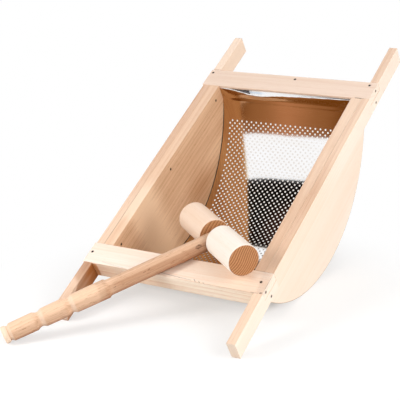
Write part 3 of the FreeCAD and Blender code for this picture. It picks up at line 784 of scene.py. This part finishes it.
# %% Steel of the nails
def nail_steel():
    """Dull, nearly black wire with a fine mottle."""
    finish = Finish(bpy.data.materials.new("nail_steel"))
    mottle = finish.noise(finish.object_place(), 900.0, 3.0)
    tint = finish.mix(mottle.ramp(0.35, 0.7), plain(0.002, 0.0015, 0.001), plain(0.010, 0.007, 0.006))
    return finish.surface(Base_Color=tint, Roughness=0.75 + mottle * 0.2, Specular_IOR_Level=0.1)


steel = sheet_steel()
nail_metal = nail_steel()
nailed = [piece for node, piece in frame["nodes"].items() if node.endswith(("nails", "nail", "tacks"))]
for piece in nailed:
    give(piece, nail_metal)
print("groups of nails and tacks:", len(nailed))

# %% [markdown]
# The perforated sheet
#
# A punched sheet could be a plain surface with holes painted on, but then light wouldn't shine through them.
# Real holes are affordable if the pattern is read the right way: the rows are staggered by half a step, so
# the sheet is a chequerboard of small squares, where every other square has a round hole in its middle.
# First comes the sheet's outline from the side, as a path: an arc round the belly, a short bend, and a
# straight lip that lies against the back crossbar.

# %% Path of the sheet seen from the side
BELLY_Y, BELLY_Z = -10.5, 57.596
SHEET_RADIUS = 176.2
GAUGE = 0.6
SQUARE = 3.6147
FIRST_ROW_ANGLE = 0.9423
HOLE_ROWS = 92
FIRST_HOLE_X = -81.53
HOLE_COLUMNS = range(-1, 47)
HOLE_RADIUS = 1.28
SHEET_SIDE = 108.9
LIP_Y = 147.1
LIP_TOP = -2.8
LIP_BEND = 8.0
FRONT_END_Z = -22.6

bend_start = math.asin((LIP_Y - LIP_BEND - BELLY_Y) / (SHEET_RADIUS - LIP_BEND))
bend_y = LIP_Y - LIP_BEND
bend_z = BELLY_Z - (SHEET_RADIUS - LIP_BEND) * math.cos(bend_start)
front_end = -math.acos((BELLY_Z - FRONT_END_Z) / SHEET_RADIUS)

row_step = SQUARE / SHEET_RADIUS
row_lines = FIRST_ROW_ANGLE + row_step * (0.5 - np.arange(HOLE_ROWS + 1))
above = np.linspace(bend_start, row_lines[0], 1 + math.ceil((bend_start - row_lines[0]) / row_step))[:-1]
below = np.linspace(row_lines[-1], front_end, 1 + math.ceil((row_lines[-1] - front_end) / row_step))[1:]
arc = np.concatenate([above, row_lines, below])
bend = np.linspace(math.pi / 2, bend_start, 7)[:-1]
lip = np.linspace(LIP_TOP, bend_z, 26)[:-1]

path = np.concatenate([
    np.stack([np.full_like(lip, LIP_Y), lip], 1),
    np.stack([bend_y + LIP_BEND * np.sin(bend), bend_z - LIP_BEND * np.cos(bend)], 1),
    np.stack([BELLY_Y + SHEET_RADIUS * np.sin(arc), BELLY_Z - SHEET_RADIUS * np.cos(arc)], 1)])
inward = np.concatenate([
    np.tile([-1.0, 0.0], (len(lip), 1)),
    np.stack([-np.sin(bend), np.cos(bend)], 1),
    np.stack([-np.sin(arc), np.cos(arc)], 1)])
first_hole_line = len(lip) + len(bend) + len(above)
print("path stations:", len(path), "lip bend starts at degrees", round(math.degrees(bend_start), 2))

# %% [markdown]
# The grid of squares
#
# The corner grid is an array: one row for each station of the path, one column for each line from side to
# side. Each corner is its path point, pushed half the sheet's thickness inwards or outwards. Along its top
# edge, the thin lip isn't perfectly flat: it stands off the crossbar a little and leans back to it, which
# catches the light as a bright strip.

# %% Corners of the squares
margin = np.linspace(-SHEET_SIDE, FIRST_HOLE_X - 1.5 * SQUARE, 5)[:-1]
columns = FIRST_HOLE_X + SQUARE * (np.arange(HOLE_COLUMNS.start, HOLE_COLUMNS.stop + 1) - 0.5)
lines = np.concatenate([margin, columns, np.linspace(columns[-1], SHEET_SIDE, 5)[1:]])
first_hole_column = len(margin)


def lip_crest(x):
    """How far below its top edge the lip begins to curl back, in millimetres."""
    return np.interp(x, [-96, -80, -65, -50, -33, -10, 23, 60, 96], [0, 1.5, 4.5, 8, 8.5, 5.8, 4, 2.8, 1.8])


def stand_off(x, z):
    """How far the lip stands off the crossbar: a little at the crest, nothing at the bend and the edge."""
    crest = lip_crest(x)
    rise = np.clip((z - bend_z) / np.maximum(LIP_TOP - crest - bend_z, 1e-6), 0, 1)
    fall = np.clip((LIP_TOP - z) / np.maximum(crest, 0.3), 0, 1)
    return 0.08 * crest * np.minimum(rise * rise * (3 - 2 * rise), fall)


def sheet_points(x, station_y, station_z, normal_y, normal_z, face):
    """A point of the sheet: its path point, half a gauge along the normal, less the lip's stand-off."""
    y = station_y + face * GAUGE / 2 * normal_y - stand_off(x, station_z)
    z = station_z + face * GAUGE / 2 * normal_z
    return np.stack([x, y, z], -1)


def grid_points(face):
    x, station = np.meshgrid(lines, np.arange(len(path)))
    return sheet_points(x, path[station, 0], path[station, 1], inward[station, 0], inward[station, 1], face)


corners = {face: grid_points(face) for face in (1, -1)}
rows_count, lines_count = corners[1].shape[:2]
print("corner grid:", rows_count, "by", lines_count)

# %% [markdown]
# Squares with holes
#
# A plain square is one face on each side of the sheet. A square with a hole is a ring of sixteen triangles
# between its four corners and the twelve points of the hole's rim, and a wall of twelve faces joins the two
# rims. All of it is index arithmetic on whole arrays.

# %% Faces of the sheet
RIM = 12
row, line = np.meshgrid(np.arange(rows_count - 1), np.arange(lines_count - 1), indexing="ij")
hole_row, hole_line = row - first_hole_line, line - first_hole_column
holed = ((hole_row >= 0) & (hole_row < HOLE_ROWS) & (hole_line >= 0) & (hole_line < len(HOLE_COLUMNS))
         & ((hole_row + hole_line + HOLE_COLUMNS.start) % 2 == 0))

index = np.arange(rows_count * lines_count).reshape(rows_count, lines_count)
square_corners = np.stack([index[:-1, :-1], index[:-1, 1:], index[1:, 1:], index[1:, :-1]], -1)
whole = square_corners[~holed]
pierced = square_corners[holed]
count = len(pierced)

# The rim starts over corner 0, which is towards the back and the left, and goes round as the corners do.
angle = math.radians(135) - 2 * math.pi * np.arange(RIM) / RIM
rim_x = (lines[:-1] + lines[1:])[line[holed]] / 2
rim_station = row[holed]
middle_angle = (arc[:-1] + arc[1:])[rim_station - len(lip) - len(bend)] / 2
x = rim_x[:, None] + HOLE_RADIUS * np.cos(angle)
a = middle_angle[:, None] + HOLE_RADIUS * np.sin(angle) / SHEET_RADIUS
rims = {face: sheet_points(x, BELLY_Y + SHEET_RADIUS * np.sin(a), BELLY_Z - SHEET_RADIUS * np.cos(a),
                           -np.sin(a), np.cos(a), face) for face in (1, -1)}

grid_total = rows_count * lines_count
rim_index = grid_total + np.arange(count * RIM).reshape(count, RIM)
outer_offset = grid_total + count * RIM


def ring_faces():
    """Sixteen triangles: from each corner to its four nearest rim points, and one along each side."""
    triangles = []
    for corner in range(4):
        c, after = pierced[:, corner], pierced[:, (corner + 1) % 4]
        r = [rim_index[:, (3 * corner + k) % RIM] for k in range(-1, 4)]
        triangles += [np.stack([c, r[2], r[1]], 1), np.stack([c, after, r[2]], 1),
                      np.stack([after, r[3], r[2]], 1), np.stack([after, r[4], r[3]], 1)]
    return np.concatenate(triangles)


ring = ring_faces()
wall_next = np.roll(rim_index, -1, 1)
walls = np.stack([rim_index, wall_next, wall_next + outer_offset, rim_index + outer_offset], -1)
border = np.concatenate([index[0, :], index[1:, -1], index[-1, -2::-1], index[-2:0:-1, 0]])
border_next = np.roll(border, -1)
edges = np.stack([border, border + outer_offset, border_next + outer_offset, border_next], 1)
quads = np.concatenate([whole[:, ::-1], whole + outer_offset, walls.reshape(-1, 4), edges])
triangles = np.concatenate([ring[:, ::-1], ring + outer_offset])
points = np.concatenate([part.reshape(-1, 3) for face in (1, -1) for part in (corners[face], rims[face])])

sheet_mesh = bpy.data.meshes.new("perforated_sheet")
sheet_mesh.from_pydata(to_floor(points), [], quads.tolist() + triangles.tolist())
sheet = add_object("perforated_sheet", sheet_mesh)
print("holes:", count, "points:", len(points), "faces:", len(sheet_mesh.polygons))

# %% [markdown]
# The lean of the lip
#
# The lip's curl is too slight to move many points, yet a mirror shows every degree of it. So each point
# carries a number, the height of a relief that leans the lip back: as much as the arc below it leans, and
# more from the crest to the top edge. The steel reads that number.

# %% Lean
ARC_SLOPE, CURL_SLOPE = 0.50, 1.15
upper = len(lip) + len(bend)
missing = np.zeros(len(path))
missing[:upper] = np.clip(ARC_SLOPE - np.abs(inward[:upper, 1] / inward[:upper, 0]), 0, None)
steps = np.linalg.norm(np.diff(path, axis=0), axis=1)
rise = np.concatenate([np.cumsum((missing[:-1] * steps)[::-1])[::-1], [0]])
x_grid, station = np.meshgrid(lines, np.arange(len(path)))
crest = lip_crest(x_grid)
above_crest = np.clip(path[station, 1] - (LIP_TOP - crest), 0, None) * (station < len(lip))
lean_grid = -(rise[station] + above_crest * (CURL_SLOPE - ARC_SLOPE)) * MM
share_grid = above_crest / np.maximum(crest, 0.5)


def give_points(word, values):
    """Stores a number on every point of the sheet, for the steel to read."""
    attribute = sheet_mesh.attributes.new(word, "FLOAT", "POINT")
    attribute.data.foreach_set("value", values.astype(np.float32))


for word, grid in (("lean", lean_grid), ("edge_share", share_grid)):
    values = np.zeros(len(points))
    values[:grid_total] = grid.reshape(-1)
    values[outer_offset:outer_offset + grid_total] = grid.reshape(-1)
    give_points(word, values)
give_points("inside", np.arange(len(points)) < outer_offset)
print("relief of the lip, mm:", round(float(-lean_grid.min()) / MM, 2))

# %% [markdown]
# Finishing the sheet's mesh
#
# Blender turns all faces outwards. Smooth shading makes the curve mirror evenly, while the rims of the
# holes stay crisp, because edges over 40 degrees are sharp.

# %% Outward faces and crisp rims
finish_mesh(sheet_mesh, 40)
sheet_mesh.materials.append(steel)
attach(sheet, "frame")
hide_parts("strainer_sheet")
print("sheet finished, faces:", len(sheet_mesh.polygons))

# %% [markdown]
# The floor
#
# The picture has a white sweep with soft shadows. Near the strainer the floor is a pale matt surface that
# glows a little for the camera and the steel; under the belly it glows less, which paints shade there.
# Further out it turns to plain white, so shadows stay and the distance is clean. Behind the strainer lies one
# weak, warm, soft painted shadow, which shows through the holes.

# %% Floor
NEAR_MIDDLE = (0.06, -0.14, 0.0)
WHITE, PALE, GREY = plain(1.0, 1.0, 1.0), plain(0.86, 0.86, 0.86), plain(0.45, 0.45, 0.45)
# Under the belly a weak warm glow paints shade; behind the strainer a warm glow paints a shadow.
BELLY_SHADE_GLOW, WARM_SHADOW = plain(1.0, 0.94, 0.88), plain(0.34, 0.19, 0.08)


def seen_or_mirrored(finish):
    """1 for rays from the camera or from a mirror, 0 for rays that only carry light about."""
    rays = [finish.node("LightPath", output=word) for word in ("Is Camera Ray", "Is Glossy Ray")]
    return finish.maths("MAXIMUM", *rays)


def floor_finish():
    finish = Finish(bpy.data.materials.new("floor_sweep"))
    place = finish.object_place()
    side, back = finish.parts(place)[:2]
    seen = seen_or_mirrored(finish)
    far = finish.measure("DISTANCE", place, NEAR_MIDDLE).ramp(0.18, 0.34)
    # Painted shade: under the belly the camera's glow is weaker and warm.
    painted_shade_under_belly = back.ramp(-0.077, -0.02) * back.ramp(0.12, 0.095) * abs(side - 0.014).ramp(0.10, 0.085)
    glow = finish.mix_shaders(painted_shade_under_belly, finish.glow(WHITE, 0.55), finish.glow(BELLY_SHADE_GLOW, 0.12))
    shown = finish.node("AddShader", {0: finish.node("BsdfDiffuse", {"Color": GREY}), 1: glow})
    matt = finish.node("BsdfDiffuse", {"Color": PALE})
    sweep = finish.mix_shaders(far * seen, finish.mix_shaders(seen, matt, shown), finish.glow(WHITE))

    slant = side + back * 0.5
    behind = slant.ramp(-0.14, -0.03) * slant.ramp(0.19, 0.11) * back.ramp(0.02, 0.12) * back.ramp(0.75, 0.5)
    weak = back.ramp(0.10, 0.45) * 0.20 + 0.10
    shaded = finish.mix_shaders(behind * weak * seen, sweep, finish.glow(WARM_SHADOW))
    finish.node("OutputMaterial", {"Surface": shaded})
    return finish.owner


def stage_panel(name, corners_m, material):
    """A flat four-cornered piece of the studio."""
    mesh = bpy.data.meshes.new(name)
    mesh.from_pydata(corners_m, [], [(0, 1, 2, 3)])
    mesh.materials.append(material)
    panel = add_object(name, mesh)
    return panel


floor = stage_panel("floor", [(-8, -8, 0), (8, -8, 0), (8, 8, 0), (-8, 8, 0)], floor_finish())
print("stage:", floor.name)

# %% [markdown]
# What the steel mirrors
#
# Bright steel shows the room, not itself. Five flat cards stand round the strainer where its mirrored rays
# go: white ones for a softbox and a bright ceiling, a dark one for the ceiling before it, and brown ones for
# the wooden things in front of the table. Only mirrored rays see them, so they neither light nor shade the
# wood.

# %% Cards for the steel
CARD_BLIND_TO = ("camera", "diffuse", "transmission", "volume_scatter", "shadow")


def card(name, corners_m, colours, across=(-0.45, -0.22)):
    """A card whose glow runs through colours from left to right, between two X places."""
    finish = Finish(bpy.data.materials.new(name))
    x = finish.parts(finish.object_place())[0]
    places = np.linspace(*across, len(colours))
    tone = colours[0]
    for low, high, colour in zip(places[:-1], places[1:], colours[1:]):
        tone = finish.mix(x.ramp(low, high), tone, colour)
    finish.node("OutputMaterial", {"Surface": finish.glow(tone)})
    panel = stage_panel(name, corners_m, finish.owner)
    for ray in CARD_BLIND_TO:
        setattr(panel, "visible_" + ray, False)
    return panel


SOFTBOX_WHITE = [plain(1.42, 1.76, 2.30), plain(1.46, 1.80, 2.35)]
DARKS = [plain(0.006, 0.005, 0.004), plain(0.05, 0.024, 0.018), plain(0.045, 0.022, 0.018)]
BROWNS = [plain(0.57, 0.24, 0.09), plain(0.62, 0.28, 0.12), plain(0.63, 0.30, 0.15),
          plain(0.42, 0.19, 0.075), plain(0.22, 0.075, 0.012)]
cards = [
    card("white_card", [
        (-0.85, -0.68, 0.43), (0.10, -1.08, 0.001), (0.06, -0.86, 0.86), (-0.85, -0.40, 0.78)],
        SOFTBOX_WHITE),
    card("ceiling_card", [(-1.3, 0.41, 1.0), (0.2, 0.41, 1.0), (0.2, 1.6, 1.0), (-1.3, 1.6, 1.0)],
         SOFTBOX_WHITE),
    card("dark_card", [(-1.3, -1.2, 1.05), (0.2, -1.2, 1.05), (0.2, 0.40, 1.0), (-1.3, 0.40, 1.0)],
         DARKS, (-0.50, -0.42)),
    card("brown_card", [
        (-0.95, -0.38, 0.001), (0.35, -0.62, 0.001), (0.35, -0.62, 0.118), (-0.95, -0.38, 0.378)],
        BROWNS, (-0.44, -0.20)),
    card("brown_floor_card", [
        (-0.95, -0.39, 0.003), (0.35, -0.63, 0.003), (0.35, -0.20, 0.003), (-0.95, -0.27, 0.003)],
        BROWNS, (-0.46, -0.20))]
print("cards:", len(cards))

# %% [markdown]
# The air of the studio
#
# Camera and mirrors see a plain white room, and the wood is lit by a weaker, slightly warm glow from all
# sides, which fills the shadows.

# %% World
air = Finish(bpy.data.worlds.new("studio_air"))
bpy.context.scene.world = air.owner
fill = air.node("Background", {"Color": plain(1.0, 0.985, 0.97), "Strength": 0.40})
white_room = air.node("Background", {"Color": WHITE, "Strength": 1.0})
air.node("OutputWorld", {"Surface": air.mix_shaders(seen_or_mirrored(air), fill, white_room)})
print("world nodes:", len(air.tree.nodes))

# %% [markdown]
# Softboxes
#
# The larger a lamp, the softer its shadows. A small one at the front left gives the shadows their
# direction, a large one at the right lights the pale faces, and a weak one overhead rounds the shapes. The
# steel doesn't mirror them, because its cards stand for them.

# %% Lamps
def soft_lamp(name, place, target, size, power, colour=(1.0, 1.0, 1.0)):
    """A rectangular lamp, aimed from its place at a target."""
    lamp = bpy.data.lights.new(name, "AREA")
    lamp.shape = "RECTANGLE"
    lamp.size, lamp.size_y = size
    lamp.energy = power
    lamp.color = colour
    holder = add_object(name, lamp)
    holder.location = place
    holder.rotation_euler = (Vector(target) - Vector(place)).to_track_quat("-Z", "Y").to_euler()
    holder.visible_glossy = False
    return holder


lamps = [
    soft_lamp("front_softbox", (-0.47, -0.70, 0.55), target=(0.02, 0.05, 0.10), size=(0.30, 0.40), power=4.6),
    soft_lamp("right_softbox", (1.30, -0.35, 0.85), target=(0.0, 0.0, 0.1), size=(0.9, 0.9), power=14.5,
              colour=(1.0, 0.99, 0.98)),
    soft_lamp("overhead", (0.2, 0.3, 2.0), target=(0.0, 0.0, 0.0), size=(1.6, 1.6), power=4.0)]
print("lamps:", [lamp.name for lamp in lamps])

# %% [markdown]
# Camera
#
# A long lens from the right, a little above: the strainer runs away from the camera to the upper right and
# its open trough is turned to it. A camera looks down its own Z axis, so it is first leaned about that axis,
# then tipped up from looking straight down, then turned to its heading.

# %% Camera
CAMERA_PLACE = (0.711161, -1.151054, 0.592989)
HEADING, LOOKING_DOWN, LEAN = 32.3995, 20.0238, -3.9638

camera_data = bpy.data.cameras.new("camera")
camera_data.sensor_width = 36.0
camera_data.lens = 106.88
camera_data.clip_end = 50.0
camera = add_object("camera", camera_data)
turned = Matrix.Rotation(math.radians(HEADING), 4, "Z")
tipped = Matrix.Rotation(math.radians(90 - LOOKING_DOWN), 4, "X")
leaned = Matrix.Rotation(math.radians(LEAN), 4, "Z")
camera.matrix_world = Matrix.Translation(CAMERA_PLACE) @ turned @ tipped @ leaned
bpy.context.scene.camera = camera
bpy.context.scene.view_settings.view_transform = "Standard"
print("camera from the middle, m:", round(Vector(CAMERA_PLACE).length, 2))
